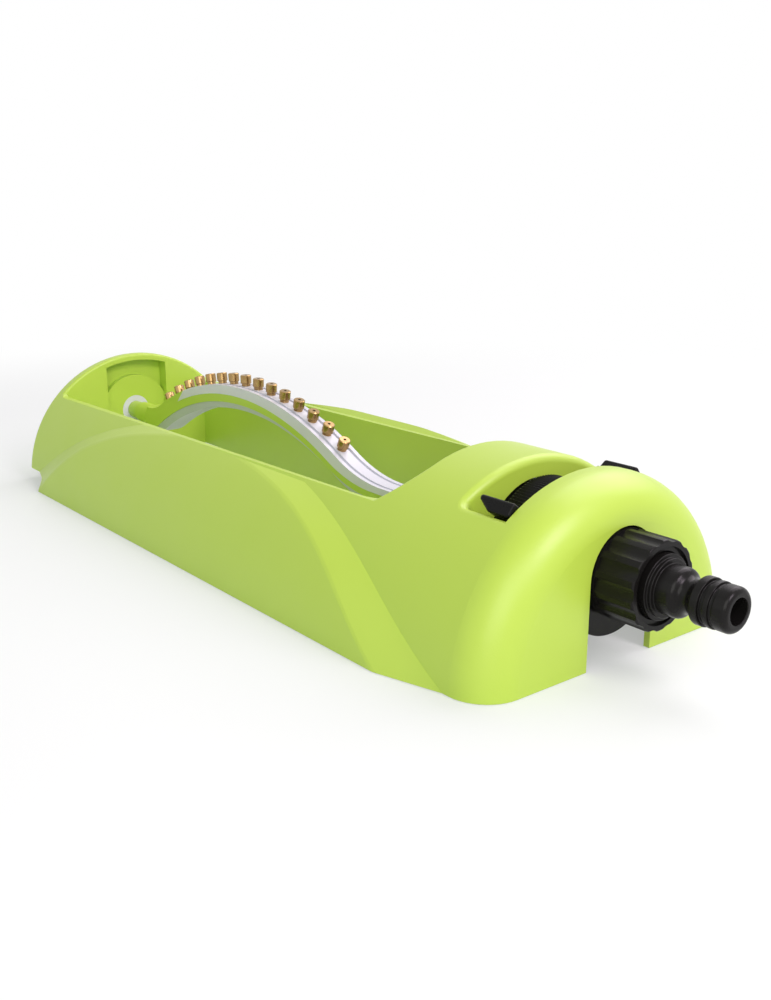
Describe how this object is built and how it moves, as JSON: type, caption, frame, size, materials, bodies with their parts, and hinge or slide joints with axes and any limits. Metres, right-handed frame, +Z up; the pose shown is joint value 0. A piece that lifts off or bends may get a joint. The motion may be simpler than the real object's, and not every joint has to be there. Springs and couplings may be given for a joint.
{
  "type": "oscillating lawn sprinkler",
  "caption": "Oscillating lawn sprinkler: half-round moulded hull with an open tray, a curved swinging spray arm with brass nozzles, range tabs and a click-type hose inlet.",
  "frame": {"origin": "on the ground, under the middle of the whole part's bounding box", "axes": "+X along the hull towards the hose nose, +Z up, +Y to the left when looking along +X"},
  "size_m": [0.4296, 0.15, 0.0706],
  "materials": {
    "lime_plastic": "satin",
    "black_plastic": "satin",
    "grey_plastic": "satin",
    "dark_grey_plastic": "satin",
    "white_plastic": "satin",
    "brass": "turned",
    "steel": "plain",
    "rubber": "matt"
  },
  "bodies": {
    "base": {"base_shell": "lime_plastic", "motor_cradle": "black_plastic", "cradle_screws": "steel", "far_bearing_bush": "grey_plastic", "motor_front_cap": "black_plastic", "casing_seal": "rubber", "motor_barrel": "black_plastic", "motor_rear_cap": "black_plastic", "sleeve_seal": "rubber", "casing_screws": "steel", "jet_plate": "white_plastic", "gear_plate": "white_plastic", "gear_pins": "steel", "inlet_washer": "rubber", "inlet_strainer": "steel", "hose_nose": "black_plastic"},
    "nut": {"hose_nut": "black_plastic"},
    "arm": {"arm_body": "lime_plastic", "arm_rail": "grey_plastic", "arm_lower_strip": "dark_grey_plastic", "spray_nozzles": "brass", "drive_sleeve": "black_plastic", "sleeve_clip": "steel", "output_gear": "white_plastic"},
    "turbine_wheel": {"turbine": "white_plastic"},
    "first_gear": {"gear_1": "white_plastic"},
    "second_gear": {"gear_2": "white_plastic"},
    "third_gear": {"gear_3": "white_plastic"},
    "reversing_lever": {"trip_lever": "black_plastic", "trip_spindle": "steel", "jet_flap": "white_plastic"},
    "near_range_ring": {"near_tab": "black_plastic"},
    "far_range_ring": {"far_tab": "black_plastic"}
  },
  "joints": [
    {"name": "arm_swing", "type": "hinge", "parent": "base", "child": "arm", "pos_m": [0, 0, 0.033], "axis": [1, 0, 0], "range_deg": [-48, 48]},
    {"name": "nut_turn", "type": "hinge", "parent": "base", "child": "nut", "pos_m": [0, 0, 0.033], "axis": [1, 0, 0], "continuous": true},
    {"name": "near_ring_turn", "type": "hinge", "parent": "base", "child": "near_range_ring", "pos_m": [0, 0, 0.033], "axis": [1, 0, 0], "range_deg": [-44, 0]},
    {"name": "far_ring_turn", "type": "hinge", "parent": "base", "child": "far_range_ring", "pos_m": [0, 0, 0.033], "axis": [1, 0, 0], "range_deg": [0, 43]},
    {"name": "lever_rock", "type": "hinge", "parent": "base", "child": "reversing_lever", "pos_m": [0, 0, 0.0495], "axis": [1, 0, 0], "range_deg": [-12, 12]},
    {"name": "third_gear_turn", "type": "hinge", "parent": "base", "child": "third_gear", "pos_m": [0, 0, 0.021], "axis": [1, 0, 0], "range_deg": [-180, 180]},
    {"name": "second_gear_turn", "type": "hinge", "parent": "base", "child": "second_gear", "pos_m": [0, 0, 0.033], "axis": [1, 0, 0], "range_deg": [-360, 360]},
    {"name": "first_gear_turn", "type": "hinge", "parent": "base", "child": "first_gear", "pos_m": [0, 0, 0.021], "axis": [1, 0, 0], "range_deg": [-720, 720]},
    {"name": "turbine_turn", "type": "hinge", "parent": "base", "child": "turbine_wheel", "pos_m": [0, 0, 0.033], "axis": [1, 0, 0], "range_deg": [-1440, 1440]}
  ],
  "couplings": [
    {"joint": "third_gear_turn", "follows": "arm_swing", "ratio": -2},
    {"joint": "second_gear_turn", "follows": "arm_swing", "ratio": 4},
    {"joint": "first_gear_turn", "follows": "arm_swing", "ratio": -8},
    {"joint": "turbine_turn", "follows": "arm_swing", "ratio": 16}
  ]
}
